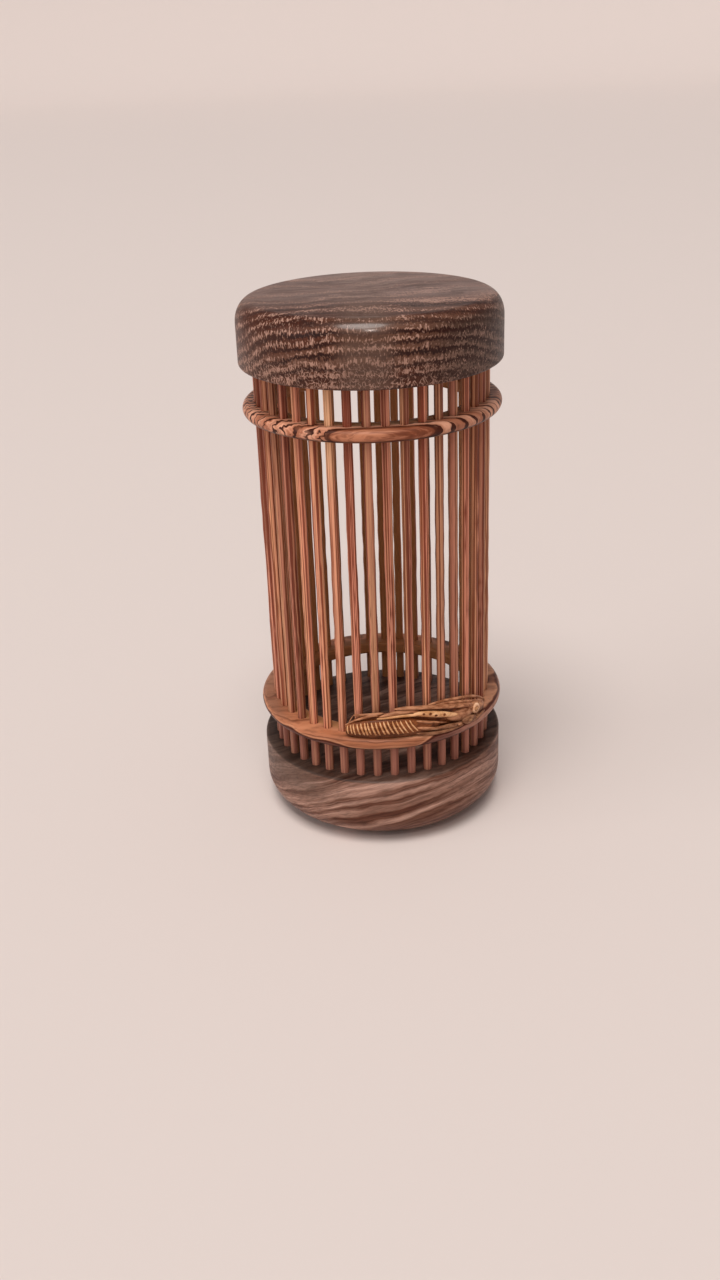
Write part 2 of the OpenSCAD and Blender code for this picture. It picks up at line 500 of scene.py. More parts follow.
def base_wood(name, tilt, shift, tones, wear_and_shade):
    """Dark hardwood with slanting streaks that taper and merge, scratched fine.

    Where wear and shade are asked for, its upper left is dulled by handling and its top is darkened with
    painted shade, most on the ledge under the ring.
    """
    material, tree, surface, place = new_material(name)
    turned_place = tilted(tree, place, tilt, shift)
    side, _, height = parted(tree, place)
    grain = use(tree, LAYERS, place=turned_place, layers=640.0, wave=7 * MM, waves=28.0, jag=0.1,
                strokes=1400.0)
    colour = tones[0]
    for least, next_tone in zip((0.34, 0.42, 0.50, 0.58), tones[1:]):
        colour = blend(tree, between(tree, grain["Streaks"], least, least + 0.08), colour, next_tone)
    threads = product(tree, between(tree, grain["Rise"], 0.72, 0.90), between(tree, grain["Own"], 0.45, 0.75))
    colour = blend(tree, product(tree, threads, 0.7), colour, tones[0])
    scratches = noise(tree, scaled(tree, turned_place, (220, 700, 3200)), 3.0, 0.7)
    colour = shaded(tree, colour, between(tree, scratches, 0.36, 0.58, 0.74, 1.05))
    handled = between(tree, side, -6 * MM, -22 * MM, 0.0, 0.6 * wear_and_shade)
    handled = product(tree, handled, between(tree, height, base_top - 11 * MM, base_top - 4 * MM))
    colour = blend(tree, handled, colour, tone(98, 80, 70))
    # Painted shade: the top darkened, most on the ledge under the ring and less on the floor inside the cage
    top_shade = between(tree, height, base_top - 0.7 * MM, base_top - 0.2 * MM, 0.0, wear_and_shade)
    shade_factor = between(tree, radius(tree, place), bar_circle_r - 1 * MM, bar_circle_r + 0.5 * MM, 0.58, 0.35)
    colour = blend(tree, top_shade, colour, shade_factor, "MULTIPLY")
    finish_wood(tree, surface, grain, colour, product(tree, scratches, 0.5))
    return material


def ring_finish(tree, surface, place, foot, grain, colour):
    """Straight fibres over a ring's colour, with painted shade below its nose and a painted tan on the wood
    inside the bars that stands in for the light there.
    """
    colour = shaded(tree, colour, between(tree, grain["Fibres"], 0.32, 0.55, 0.68, 1.0))
    # Painted shade under the ring's nose
    below = between(tree, parted(tree, place)[2], foot + 1.0 * MM, foot + 0.4 * MM)
    colour = shaded(tree, colour, between(tree, below, 0.0, 1.0, 1.0, 0.35))
    # Painted tan on the wood inside the bars, standing in for the light inside the cage
    inside = between(tree, radius(tree, place), bar_circle_r + 0.2 * MM, bar_circle_r - 1.0 * MM)
    colour = blend(tree, product(tree, inside, 0.8), colour, tone(176, 122, 78))
    plug(tree, surface.inputs["Base Color"], colour)
    plug(tree, surface.inputs["Roughness"], between(tree, grain["Fibres"], 0.3, 0.7, 0.48, 0.36))
    relief(tree, surface, grain["Fibres"], 0.04 * MM, 0.5)


def above_rim_edge(tree, place):
    """How far a place is above the wavy edge of the lower ring's under layer, which climbs at both sides."""
    side, _, height = parted(tree, place)
    wave = noise(tree, scaled(tree, place, (110, 110, 60)), 2.0)
    left_rise = between(tree, side, -2 * MM, -14 * MM, -0.2 * MM, 1.5 * MM)
    right_rise = between(tree, side, 6 * MM, 13 * MM, 0.0, 2.7 * MM)
    aside = maths(tree, "ADD", left_rise, right_rise)
    edge = maths(tree, "MULTIPLY_ADD", maths(tree, "SUBTRACT", wave, 0.5), 2.4 * MM, aside)
    return maths(tree, "SUBTRACT", maths(tree, "SUBTRACT", height, lower_ring_foot), edge)


def lower_ring_wood():
    """Orange-tan plank with faint lines, over purple-brown along its rim: partly a darker layer and partly
    painted shade on the underside of its nose.

    A dark wavy line parts the two, with a narrow light one above it.
    """
    material, tree, surface, place = new_material("lower_ring_wood")
    side, front, height = parted(tree, place)
    grain = use(tree, LAYERS, place=tilted(tree, place, (7, 0, 0)), layers=480.0, wave=4 * MM, waves=45.0,
                jag=0.25, strokes=450.0)
    streaks = between(tree, grain["Streaks"], 0.38, 0.64)
    colour = blend(tree, streaks, tone(182, 114, 80), tone(220, 154, 116))
    # Painted shade: the top darkened towards both ends
    end_shade = between(tree, maths(tree, "ABSOLUTE", side), 20 * MM, 26 * MM, 0.0, 0.75)
    end_shade = product(tree, end_shade, between(tree, height, lower_ring_top - 0.9 * MM, lower_ring_top - 0.2 * MM))
    colour = blend(tree, end_shade, colour, tone(132, 90, 70))
    colour = shaded(tree, colour, between(tree, front, -24 * MM, -28 * MM, 1.0, 0.84))
    lines = product(tree, between(tree, grain["Rise"], 0.80, 0.96), 0.6)
    colour = blend(tree, lines, colour, tone(96, 46, 26))
    above = above_rim_edge(tree, place)
    # Purple-brown under the wavy edge: partly a darker layer, partly painted shade under the nose
    purple = blend(tree, streaks, tone(114, 70, 58), tone(148, 98, 84))
    purple = blend(tree, between(tree, side, 15 * MM, 25 * MM, 0.0, 0.6), purple, tone(190, 136, 112))
    colour = blend(tree, between(tree, above, 0.0, -0.15 * MM), colour, purple)
    rim_light = between(tree, above, 0.2 * MM, 0.4 * MM)
    rim_light = product(tree, rim_light, between(tree, above, 0.9 * MM, 0.6 * MM), 0.35)
    colour = blend(tree, rim_light, colour, tone(226, 164, 126))
    rim_line = between(tree, maths(tree, "ABSOLUTE", above), 0.46 * MM, 0.14 * MM)
    colour = blend(tree, rim_line, colour, tone(78, 32, 18))
    ring_finish(tree, surface, place, lower_ring_foot, grain, colour)
    return material


def upper_ring_wood():
    """Orange-brown plank on edge: an orange lens in front, dark hooks round it, ragged on one side."""
    material, tree, surface, place = new_material("upper_ring_wood")
    line_tone = tone(66, 26, 12)
    side = parted(tree, place)[0]
    ragged = between(tree, side, -7 * MM, -12 * MM)
    across_place = tilted(tree, tilted(tree, place, (0, 0, -4)), (90, 0, 0), (0, 0, -0.6 * MM))
    grain = use(tree, LAYERS, place=across_place, layers=480.0, wave=2.6 * MM, waves=75.0,
                jag=between(tree, ragged, 0.0, 1.0, 0.20, 1.3), strokes=1900.0)
    streaks = between(tree, grain["Streaks"], 0.38, 0.64)
    colour = blend(tree, streaks, tone(172, 108, 80), tone(228, 166, 136))
    # Painted light and shade: lighter on the left, darker on the right
    colour = shaded(tree, colour, between(tree, side, -20 * MM, 20 * MM, 1.12, 0.86))
    thick = noise(tree, scaled(tree, place, (220, 220, 420)), 2.0)
    thick = between(tree, thick, 0.36, 0.62, -0.04, 0.28)
    thick = maths(tree, "MULTIPLY_ADD", ragged, 0.06, thick)
    lines = between(tree, maths(tree, "ADD", grain["Rise"], thick), 0.74, 0.92)
    lines = product(tree, lines, between(tree, grain["Rise"], 1.0, 0.96))
    patches = noise(tree, scaled(tree, place, (120, 120, 260)), 2.0)
    lines = product(tree, lines, between(tree, patches, 0.34, 0.50, 0.55, 1.0))
    colour = blend(tree, lines, colour, line_tone)
    wave = maths(tree, "SUBTRACT", noise(tree, scaled(tree, place, (120, 120, 300)), 2.0), 0.5)
    depth = maths(tree, "MULTIPLY_ADD", wave, 1.2 * MM, parted(tree, across_place)[2])
    lens_edge = maths(tree, "SUBTRACT", depth, LENS_DEPTH)
    lens_grain = product(tree, maths(tree, "ADD", grain["Fibres"], grain["Streaks"]), 0.5)
    lens_tone = blend(tree, between(tree, lens_grain, 0.44, 0.60), tone(130, 70, 46), tone(194, 128, 96))
    colour = blend(tree, between(tree, lens_edge, 0.1 * MM, -0.1 * MM), colour, lens_tone)
    lens_rim = between(tree, maths(tree, "ABSOLUTE", lens_edge), 0.34 * MM, 0.14 * MM)
    colour = blend(tree, product(tree, lens_rim, 0.85), colour, line_tone)
    ring_finish(tree, surface, place, upper_ring_foot, grain, colour)
    return material


def bar_wood():
    """Split wood striped up each bar, each bar in its own tone, with painted shade under the ring and on the
    right bars, and a painted tan on the side towards the axis for the light inside the cage.
    """
    material, tree, surface, place = new_material("bar_wood")
    height = parted(tree, place)[2]
    own = add(tree, "Attribute", attribute_name="bar_tone").outputs["Fac"]
    outside = add(tree, "Attribute", attribute_name="bar_outside").outputs["Fac"]
    own_place = moved(tree, place, united(tree, product(tree, own, 0.05), 0.0, own))
    stripes = between(tree, noise(tree, scaled(tree, own_place, (2300, 2300, 8)), 1.0), 0.42, 0.58)
    fibres = noise(tree, scaled(tree, own_place, (4200, 4200, 40)), 3.0, 0.65)
    mood = maths(tree, "FRACT", product(tree, own, 9.0))
    hue = noise(tree, scaled(tree, own_place, (900, 900, 6)), 1.0)
    hue = between(tree, maths(tree, "MULTIPLY_ADD", mood, 0.24, hue), 0.52, 0.72)
    dark = blend(tree, hue, tone(134, 66, 46), tone(146, 84, 56))
    light = blend(tree, hue, tone(224, 148, 120), tone(236, 170, 130))
    colour = blend(tree, stripes, dark, light)
    gold = blend(tree, stripes, tone(190, 130, 92), tone(242, 190, 148))
    golden = between(tree, height, upper_ring_foot - 14 * MM, upper_ring_foot, 0.25, 1.0)
    golden = product(tree, golden, between(tree, own, 0.92, 0.98))
    colour = blend(tree, golden, colour, gold)
    colour = shaded(tree, colour, between(tree, own, 0.0, 0.5, 0.68, 1.06))
    colour = shaded(tree, colour, between(tree, fibres, 0.32, 0.56, 0.66, 1.0))
    # Painted shade on the bars under the lower ring
    under_ring_shade = product(tree, between(tree, height, lower_ring_top, lower_ring_foot), 0.70)
    colour = blend(tree, under_ring_shade, colour, tone(156, 102, 88))
    # Painted tan on the side towards the axis, standing in for the light inside the cage
    inner_side_light = between(tree, outside, 0.42, 0.16, 0.0, 0.85)
    colour = blend(tree, inner_side_light, colour, tone(184, 130, 82))
    plug(tree, surface.inputs["Base Color"], colour)
    plug(tree, surface.inputs["Roughness"], between(tree, fibres, 0.3, 0.7, 0.52, 0.38))
    relief(tree, surface, fibres, 0.06 * MM, 0.6)
    return material


def carving_wood(name, low, high):
    """Oiled carving wood with short streaks and knife marks, darker towards its foot as painted shade under
    the wing.
    """
    material, tree, surface, place = new_material(name)
    height = parted(tree, place)[2]
    streaks = noise(tree, scaled(tree, place, (260, 900, 1300)), 3.0, 0.6)
    marks = noise(tree, scaled(tree, place, (900, 900, 1500)), 2.0, 0.6)
    colour = blend(tree, between(tree, streaks, 0.34, 0.66), low, high)
    # Painted shade towards the carving's foot
    shade_factor = between(tree, height, lower_ring_top + 1.9 * MM, lower_ring_top + 0.9 * MM, 1.0, 0.6)
    plug(tree, surface.inputs["Base Color"], shaded(tree, colour, shade_factor))
    plug(tree, surface.inputs["Roughness"], between(tree, marks, 0.3, 0.7, 0.50, 0.36))
    relief(tree, surface, marks, 0.08 * MM, 0.5)
    return material


# Tones from the deepest streak to the palest
BASE_TONES = [
    tone(90, 50, 36), tone(116, 76, 60), tone(142, 103, 87), tone(168, 128, 111), tone(194, 153, 136),
]
COLLAR_TONES = [
    tone(60, 38, 28), tone(80, 56, 46), tone(98, 70, 58), tone(120, 90, 76), tone(150, 116, 100),
]

LID_WOOD = lid_wood()
BASE_WOOD = base_wood("base_wood", (21, 14, 0), (0, 0.02, 0.003), BASE_TONES, 1.0)
COLLAR_WOOD = base_wood("collar_wood", (10, 4, 0), (0.02, 0, 0.05), COLLAR_TONES, 0.0)
LOWER_RING_WOOD = lower_ring_wood()
UPPER_RING_WOOD = upper_ring_wood()
BAR_WOOD = bar_wood()
CARVING_PALE = carving_wood("carving_pale", tone(188, 128, 80), tone(238, 186, 138))
CARVING_BROWN = carving_wood("carving_brown", tone(136, 82, 52), tone(196, 138, 102))
CARVING_DARK = carving_wood("carving_dark", tone(94, 46, 20), tone(146, 84, 46))
CARVING_EYE = carving_wood("carving_eye", tone(222, 166, 126), tone(244, 200, 164))


# The turned pieces

def make_base():
    """The base block, rounded at the foot, with a socket for every bar."""
    profile = [(0, base_foot)]
    profile += arc(base_r - FOOT_ROUND_W, base_foot + FOOT_ROUND_H, FOOT_ROUND_W, FOOT_ROUND_H, -90, 0, 16)
    profile += arc(base_r - BASE_EDGE, base_top - BASE_EDGE, BASE_EDGE, BASE_EDGE, 0, 90, 6)
    profile += [(0, base_top)]
    base = turn("turned_base", profile)
    drill(base, bar_foot, base_top + DRILL_OVER)
    seat(base, "cage", "dark_wood", BASE_WOOD, "base")


def make_ring(name, outer_r, foot, top, material, node):
    """A round-nosed ring that the bars pass through."""
    nose = (top - foot) / 2
    profile = arc(outer_r - nose, foot + nose, nose, nose, -90, 90, 16)
    inner = RING_BORE_R + RING_INNER_EDGE
    profile += arc(inner, top - RING_INNER_EDGE, RING_INNER_EDGE, RING_INNER_EDGE, 90, 180, 5)
    profile += arc(inner, foot + RING_INNER_EDGE, RING_INNER_EDGE, RING_INNER_EDGE, 180, 270, 5)
    profile += [profile[0]]
    ring = turn(name, profile)
    drill(ring, foot - DRILL_OVER, top + DRILL_OVER)
    seat(ring, "cage", "ring_wood", material, node)


def make_collar():
    """The collar on the bars' heads, with a lead-in bevel for the lid."""
    profile = [
        (COLLAR_BORE_R, collar_foot), (collar_r, collar_foot), (collar_r, collar_top - COLLAR_LEAD),
        (collar_r - COLLAR_LEAD, collar_top), (COLLAR_BORE_R, collar_top), (COLLAR_BORE_R, collar_foot),
    ]
    collar = turn("lid_collar", profile)
    drill(collar, collar_foot - DRILL_OVER, bar_head)
    seat(collar, "cage", "collar_wood", COLLAR_WOOD, "top_collar")


def make_lid():
    """The lid, rounded at its top edge, with a recess that fits over the collar."""
    recess_r = collar_r + LID_GAP
    profile = [(0, collar_top), (recess_r, collar_top), (recess_r, lid_foot)]
    profile += arc(lid_r - LID_EDGE, lid_foot + LID_EDGE, LID_EDGE, LID_EDGE, -90, 0, 6)
    profile += arc(lid_r - LID_ROUND_W, lid_top - LID_ROUND_H, LID_ROUND_W, LID_ROUND_H, 0, 90, 14)
    profile += [(0, lid_top)]
    seat(turn("turned_lid", profile), "lid", "dark_wood", LID_WOOD, "lid")


# The bars

# One pale bar, and darker tones for the bars past this place on the right, as painted shade
PALE_BAR = "bar_39"
SHADED_SIDE = 12 * MM
SHADED_SHARE = 0.4
# Sides and rings of a bar, rings at each end that stay true, and how far the others sway
BAR_SIDES = 12
BAR_RINGS = 26
BAR_TRUE_RINGS = 4
BAR_SWAY = 0.10 * MM


def model_bar():
    """One hand-shaved bar, drawn up ring by ring with slight changes of thickness and line."""
    stations = [(Vector((0, 0, bar_foot)), (1, 1, 1))]
    for step in range(1, BAR_RINGS + 1):
        way = (step - BAR_TRUE_RINGS) / (BAR_RINGS - 2 * BAR_TRUE_RINGS)
        free = math.sin(math.pi * min(max(way, 0), 1))
        sway = Vector((chance.uniform(-1, 1), chance.uniform(-1, 1))) * BAR_SWAY * free
        girth = 1 + chance.uniform(-0.04, 0.05) * free
        height = bar_foot + (bar_head - bar_foot) * step / BAR_RINGS
        stations.append((Vector((sway.x, sway.y, height)), (girth, girth, 1)))
    deselect()
    bpy.ops.mesh.primitive_circle_add(vertices=BAR_SIDES, radius=bar_r, fill_type="NGON")
    return draw_out(stations)


def facing(corner, spot):
    """1 on the outer side of a bar, 0 on the side towards the cage's axis."""
    return 0.5 + (corner.xy - spot.xy).dot(spot.xy.normalized()) / (2 * bar_r)


def make_bars():
    """Every bar, copied from one pattern, turned by chance and given its own tone."""
    pattern = model_bar()
    for node, spot in zip(bar_nodes, bar_spots):
        bar = pattern.copy()
        bar.data = pattern.data.copy()
        bar.name = "shaved_" + node
        bpy.context.scene.collection.objects.link(bar)
        turned = Matrix.Rotation(chance.uniform(0, 2 * math.pi), 4, "Z")
        bar.data.transform(Matrix.Translation((spot.x, spot.y, 0)) @ turned)
        own = bar.data.attributes.new("bar_tone", "FLOAT", "POINT")
        # Painted shade: bars on the right side take darker tones
        share = chance.uniform(0, 0.88) * (SHADED_SHARE if spot.x > SHADED_SIDE else 1.0)
        share = 1.0 if node == PALE_BAR else share
        own.data.foreach_set("value", [share] * len(bar.data.vertices))
        outside = bar.data.attributes.new("bar_outside", "FLOAT", "POINT")
        outside.data.foreach_set("value", [facing(corner.co, spot) for corner in bar.data.vertices])
        seat(bar, "cage", "bar_wood", BAR_WOOD, node)
    bpy.data.objects.remove(pattern)


# The carved cricket

# Radius of the line that the carving is bent along
CARVING_R = 28.15 * MM
LIMB_SIDES = 16

# The wing's ribs, in millimetres: their number, the first one's place, the run of the others and how much
# they spread towards the head, their foot, the gap over their top and how far they stand out of the wing
RIB_COUNT = 17
RIB_START = -7.9
RIB_RUN = 11.6
RIB_SPREAD = 2.4
RIB_FOOT = 1.3
RIB_TOP_GAP = 0.3
RIB_PROUD = 0.03
RIB_SIDES = 8
RIB_STEPS = 6

# The eye's profile in millimetres, from its middle outwards, with the radius of its dome
EYE_PLACE = Vector((24.5, -0.75, 1.8)) * MM
EYE_PROFILE = [
    (0, 0.5), (0.3, 0.47), (0.5, 0.36), (0.62, 0.28), (0.74, 0.42), (0.92, 0.5), (1.12, 0.42), (1.28, 0.2),
    (1.34, -0.1), (1.34, -0.6), (0, -0.6),
]
EYE_STEPS = 28
EYE_DOME_R = 0.6 * MM

# The punched pits, in millimetres along the ring and up, with the round punch's radius and its middle's reach
PITS = [(9.3, 5.6), (10.9, 5.3), (12.2, 4.5), (14.4, 4.2)]
PIT_R = 0.42 * MM
PIT_OUT = 1.55 * MM

# Stations of the limbs in millimetres: along the ring from the front, out, up, half depth and half height
WING = [
    (-8.7, 0.15, 1.8, 0.4, 0.8), (-8.1, 0.2, 1.95, 0.75, 1.5), (-6.5, 0.3, 2.15, 0.95, 1.95),
    (-4.0, 0.35, 2.4, 1.0, 2.25), (-1.0, 0.35, 2.5, 1.0, 2.45), (3.0, 0.35, 2.55, 1.0, 2.5),
    (6.5, 0.35, 2.35, 0.95, 2.35), (9.5, 0.3, 1.9, 0.85, 1.9), (12.0, 0.25, 1.3, 0.6, 1.3),
    (14.0, 0.2, 0.8, 0.35, 0.7),
]
STRIP = [
    (-1.4, 0.35, 5.05, 0.25, 0.15), (0.6, 0.45, 5.3, 0.4, 0.26), (2.6, 0.55, 5.55, 0.45, 0.34),
    (5.0, 0.6, 5.65, 0.45, 0.36), (7.2, 0.65, 5.5, 0.45, 0.36), (9.0, 0.6, 5.2, 0.3, 0.2),
]
BACK = [
    (2.6, -0.3, 7.0, 0.3, 0.2), (4.5, -0.1, 7.2, 0.5, 0.36), (7.0, 0.05, 7.05, 0.6, 0.42),
    (10.0, 0.2, 6.7, 0.7, 0.45), (13.0, 0.25, 6.1, 0.75, 0.48), (16.0, 0.3, 5.4, 0.8, 0.5),
    (19.0, 0.35, 4.6, 0.8, 0.52), (22.0, 0.35, 3.6, 0.75, 0.55), (24.0, 0.3, 2.9, 0.6, 0.5),
]
THORAX = [
    (7.0, 0.55, 5.75, 0.35, 0.3), (8.4, 0.75, 5.6, 0.5, 0.62), (10.5, 0.85, 5.2, 0.6, 0.8),
    (13.0, 0.85, 4.5, 0.6, 0.85), (15.4, 0.8, 3.7, 0.55, 0.75), (18.0, 0.65, 2.7, 0.4, 0.45),
    (19.6, 0.5, 2.1, 0.25, 0.2),
]
FLANK = [
    (15.5, 0.1, 2.6, 0.5, 0.8), (18.0, 0.2, 2.1, 0.8, 1.5), (21.0, 0.2, 1.7, 0.9, 1.7),
    (23.5, 0.2, 1.4, 0.8, 1.5),
]
HEAD = [
    (22.4, 0.2, 1.9, 0.5, 1.1), (23.6, 0.25, 1.9, 0.9, 1.6), (25.6, 0.25, 1.7, 1.0, 1.75),
    (27.6, 0.2, 1.3, 0.85, 1.35), (28.8, 0.1, 0.9, 0.5, 0.8),
]
JAW = [
    (19.6, 0.9, 0.3, 0.3, 0.35), (20.6, 1.05, 0.15, 0.6, 0.95), (22.0, 1.1, -0.1, 0.65, 1.15),
    (23.4, 1.0, -0.2, 0.55, 0.9), (24.4, 0.85, -0.2, 0.3, 0.35),
]
JAW_BEAD = [(21.1, 1.5, 0.15, 0.15, 0.2), (21.8, 1.62, 0.05, 0.25, 0.42), (22.5, 1.5, -0.05, 0.15, 0.2)]
LEGS = [
    [(7.6, 0.8, 3.95, 0.15, 0.14), (9.0, 1.0, 3.5, 0.35, 0.4), (11.4, 0.95, 2.9, 0.35, 0.3),
     (13.4, 0.85, 2.25, 0.3, 0.26), (15.6, 0.7, 1.5, 0.15, 0.1)],
    [(6.9, 0.9, 2.6, 0.15, 0.14), (8.6, 1.05, 2.05, 0.35, 0.42), (11.0, 1.05, 1.2, 0.4, 0.42),
     (14.0, 1.05, 0.75, 0.4, 0.4), (16.2, 1.1, 0.65, 0.45, 0.62), (17.6, 1.05, 0.15, 0.35, 0.42),
     (18.6, 0.95, -0.1, 0.15, 0.12)],
    [(7.4, 0.85, 0.7, 0.2, 0.2), (10.2, 1.1, 0.1, 0.4, 0.5), (13.6, 1.15, -0.25, 0.4, 0.5),
     (17.0, 1.15, -0.5, 0.35, 0.35), (20.2, 1.1, -0.55, 0.2, 0.2)],
    [(21.5, 1.1, -1.0, 0.25, 0.3), (25.0, 1.1, -0.55, 0.4, 0.45), (28.4, 0.95, -0.4, 0.25, 0.3)],
]
HIND_LEG = [
    (8.6, 0.3, 6.1, 0.4, 0.2), (6.4, 0.4, 6.35, 0.5, 0.36), (4.0, 0.4, 6.5, 0.55, 0.42),
    (1.8, 0.35, 6.25, 0.5, 0.4), (0.2, 0.3, 5.75, 0.35, 0.28), (-0.8, 0.25, 5.4, 0.2, 0.15),
]
HIND_SHIN = [
    (-0.9, 0.2, 5.75, 0.2, 0.15), (-2.0, 0.3, 6.0, 0.3, 0.3), (-3.6, 0.35, 5.55, 0.35, 0.34),
    (-5.4, 0.35, 4.85, 0.3, 0.26), (-7.4, 0.3, 3.9, 0.22, 0.2), (-8.9, 0.2, 2.7, 0.15, 0.15),
]
FAR_LEG = [
    (0.6, -0.5, 6.0, 0.4, 0.34), (-2.4, -0.5, 5.75, 0.4, 0.34), (-5.2, -0.4, 5.5, 0.36, 0.32),
    (-6.9, -0.4, 5.4, 0.3, 0.26),
]
FAR_SHIN = [(-6.7, -0.4, 5.4, 0.28, 0.26), (-7.5, -0.35, 4.2, 0.24, 0.3), (-8.6, -0.3, 1.8, 0.2, 0.4)]
FEELERS = [
    [(11.0, -0.6, 6.6, 0.25, 0.2), (13.5, -0.8, 6.6, 0.35, 0.32), (16.2, -0.9, 6.45, 0.4, 0.36),
     (20.6, -0.9, 5.55, 0.4, 0.38), (25.0, -0.9, 4.35, 0.4, 0.4), (28.0, -0.9, 2.9, 0.4, 0.4),
     (30.5, -0.85, 1.3, 0.35, 0.35), (32.0, -0.8, 0.2, 0.3, 0.25)],
    [(13.0, -0.3, 6.35, 0.25, 0.2), (15.5, -0.3, 6.1, 0.35, 0.32), (18.0, -0.25, 5.6, 0.4, 0.36),
     (20.6, -0.2, 4.87, 0.4, 0.38), (23.0, -0.2, 4.0, 0.35, 0.34), (25.0, -0.2, 3.3, 0.3, 0.28),
     (26.5, -0.2, 2.8, 0.2, 0.2)],
]
BACKING = [
    (-8.6, -0.6, 1.2, 0.3, 1.0), (-6.0, -0.6, 2.8, 0.5, 2.8), (0.0, -0.6, 3.0, 0.6, 3.1),
    (8.0, -0.6, 3.2, 0.6, 3.4), (14.0, -0.5, 2.7, 0.7, 2.8), (20.0, -0.5, 2.0, 0.7, 2.1),
    (26.0, -0.6, 1.2, 0.5, 1.3), (28.0, -0.5, 0.8, 0.3, 0.7),
]
BROWN_LIMBS = [BACK, HIND_LEG, HIND_SHIN, FAR_LEG, FAR_SHIN, HEAD, JAW] + LEGS + FEELERS


def limb(material, stations):
    """A carved limb, drawn along its stations and rounded off."""
    deselect()
    bpy.ops.mesh.primitive_circle_add(
        vertices=LIMB_SIDES, radius=MM, fill_type="NGON", rotation=(0, math.pi / 2, 0))
    bpy.ops.object.transform_apply(location=False, rotation=True, scale=False)
    places = [(Vector((along, -out, up)) * MM, (1, deep, high)) for along, out, up, deep, high in stations]
    piece = draw_out(places)
    round_off(piece, 2)
    piece.data.materials.append(material)
    return piece


def wing_section(along):
    """How far out and up the wing's middle is at a place along it, with its half depth and half height."""
    for start, end in zip(WING, WING[1:]):
        if along <= end[0]:
            break
    share = min(max((along - start[0]) / (end[0] - start[0]), 0), 1)
    return [first + (last - first) * share for first, last in zip(start[1:], end[1:])]


def wing_face(along, up):
    """How far out the wing's face is at a place."""
    out, middle, deep, high = wing_section(along)
    return out + deep * math.sqrt(max(1 - ((up - middle) / high) ** 2, 0))


def wing_top(along):
    """How high the wing's upper edge is at a place along it."""
    _, middle, _, high = wing_section(along)
    return middle + high


def rib(material, number):
    """One raised rib of the wing, leaning over more towards the head."""
    share = number / (RIB_COUNT - 1)
    along = RIB_START + RIB_RUN * share + RIB_SPREAD * share ** 2 + chance.uniform(-0.12, 0.12)
    lean = 0.35 + 1.5 * share + chance.uniform(-0.15, 0.15)
    width = 0.20 + 0.06 * math.sin(math.pi * share) + chance.uniform(-0.03, 0.03)
    top = wing_top(along) - RIB_TOP_GAP
    foot = RIB_FOOT + chance.uniform(-0.2, 0.2)
    places = []
    for step in range(RIB_STEPS + 1):
        climb = step / RIB_STEPS
        up = foot + (top - foot) * climb
        place = Vector((along + lean * (1 - climb) ** 1.3, 0, up))
        place.y = -wing_face(place.x, up) - RIB_PROUD
        girth = width * (0.4 + 0.6 * math.sin(math.pi * min(climb * 0.9 + 0.1, 1)) ** 0.6)
        places.append((place * MM, (girth, girth, 1)))
    deselect()
    bpy.ops.mesh.primitive_circle_add(vertices=RIB_SIDES, radius=MM, fill_type="NGON")
    piece = draw_out(places)
    round_off(piece, 1)
    piece.data.materials.append(material)
    return piece


def eye(rim, dome):
    """The head's ringed eye: a raised rim round a low dome."""
    piece = turn("eye", [(r * MM, z * MM) for r, z in EYE_PROFILE], EYE_STEPS)
    piece.data.materials.append(rim)
    piece.data.materials.append(dome)
    for face in piece.data.polygons:
        face.material_index = int(math.hypot(face.center.x, face.center.y) < EYE_DOME_R)
    piece.data.transform(Matrix.Translation(EYE_PLACE) @ Matrix.Rotation(math.pi / 2, 4, "X"))
    return piece


def pit(piece, material):
    """Punches the small pits along the thorax."""
    deselect()
    punches = []
    for along, up in PITS:
        bpy.ops.mesh.primitive_uv_sphere_add(
            segments=16, ring_count=10, radius=PIT_R, location=(along * MM, -PIT_OUT, up * MM))
        punches.append(bpy.context.object)
    cut(piece, punches, material)
    return piece


def bend_to_ring(piece):
    """Bends a flat carving round the ring and stands it on the ring's top."""
    reach_x = [corner.co.x for corner in piece.data.vertices]
    middle = (min(reach_x) + max(reach_x)) / 2
    piece.data.transform(Matrix.Translation((-middle, 0, 0)))
    bend = piece.modifiers.new("bend", "SIMPLE_DEFORM")
    bend.deform_method = "BEND"
    bend.deform_axis = "Z"
    bend.angle = (max(reach_x) - min(reach_x)) / CARVING_R
    pick(piece)
    bpy.ops.object.modifier_apply(modifier="bend")
    onto = Matrix.Rotation(middle / CARVING_R, 4, "Z") @ Matrix.Translation((0, -CARVING_R, lower_ring_top))
    piece.data.transform(onto)


def make_cricket():
    """The cricket, carved flat limb by limb, joined and bent round the lower ring."""
    limbs = [limb(CARVING_DARK, BACKING), limb(CARVING_DARK, WING), limb(CARVING_BROWN, FLANK)]
    limbs += [rib(CARVING_PALE, number) for number in range(RIB_COUNT)]
    limbs += [limb(CARVING_BROWN, stations) for stations in BROWN_LIMBS]
    limbs += [limb(CARVING_PALE, stations) for stations in (STRIP, JAW_BEAD)]
    limbs += [pit(limb(CARVING_PALE, THORAX), CARVING_DARK), eye(CARVING_EYE, CARVING_PALE)]
    cricket = join(limbs)
    cricket.name = "carved_ring_cricket"
    bend_to_ring(cricket)
    smooth(cricket, degrees=50)
    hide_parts("carved_cricket")
    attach(cricket, "cage")


make_cricket()
make_base()
make_ring("lower_round_ring", lower_ring_r, lower_ring_foot, lower_ring_top, LOWER_RING_WOOD, "lower_ring")
make_ring("upper_round_ring", upper_ring_r, upper_ring_foot, upper_ring_top, UPPER_RING_WOOD, "upper_ring")
make_collar()
make_lid()
make_bars()


# Stage, light and camera, in metres

